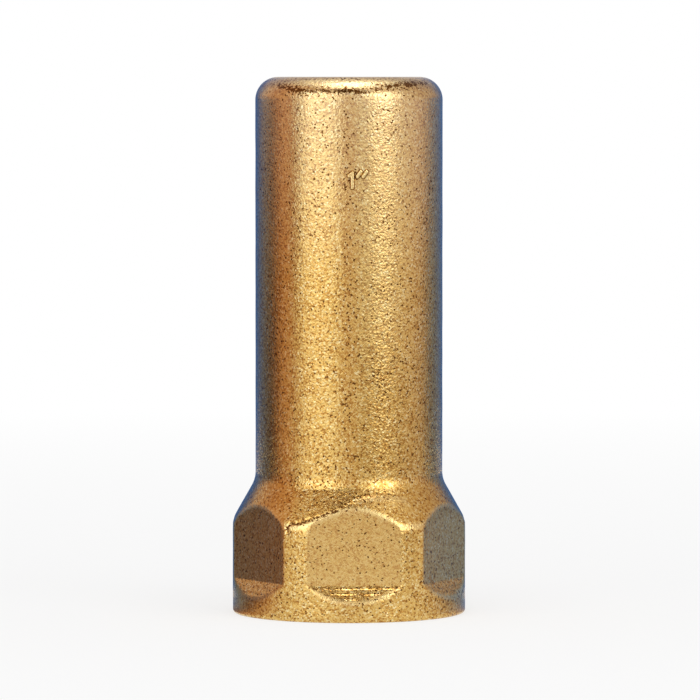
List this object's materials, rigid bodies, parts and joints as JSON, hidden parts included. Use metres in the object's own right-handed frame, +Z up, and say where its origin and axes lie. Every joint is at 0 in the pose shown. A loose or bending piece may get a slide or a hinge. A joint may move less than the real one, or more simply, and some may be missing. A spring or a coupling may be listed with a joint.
{
  "type": "water hammer arrestor",
  "caption": "Closed brass barrel on a hexagonal threaded foot; a sealed piston inside squeezes trapped air to soak up pressure surges in a water pipe.",
  "frame": {"origin": "centre of the foot's bottom face, on the body's axis", "axes": "+Z up the axis from the threaded mouth to the closed crown; -Y towards the middle of the spanner flat that faces the viewer in the picture; +X to the viewer's right"},
  "size_m": [0.0448, 0.0448, 0.103],
  "materials": {
    "forged_brass": "hot-forged, shot-blasted, bare",
    "spring_steel": "stainless spring steel, stamped and tumbled",
    "stainless_washer": "stainless sheet, stamped and tumbled",
    "acetal": "turned natural acetal, satin",
    "seal_rubber": "moulded, greased"
  },
  "bodies": {
    "shell": {"body": "forged_brass", "retaining_ring": "spring_steel", "stop_washer": "stainless_washer"},
    "piston_pack": {"piston": "acetal", "lower_o_ring": "seal_rubber", "upper_o_ring": "seal_rubber"}
  },
  "joints": [
    {"name": "piston_slide", "type": "slide", "parent": "shell", "child": "piston_pack", "axis": [0, 0, 1], "range_m": [0, 0.047], "stiffness_N_per_m": 10, "springref_m": -0.04}
  ]
}
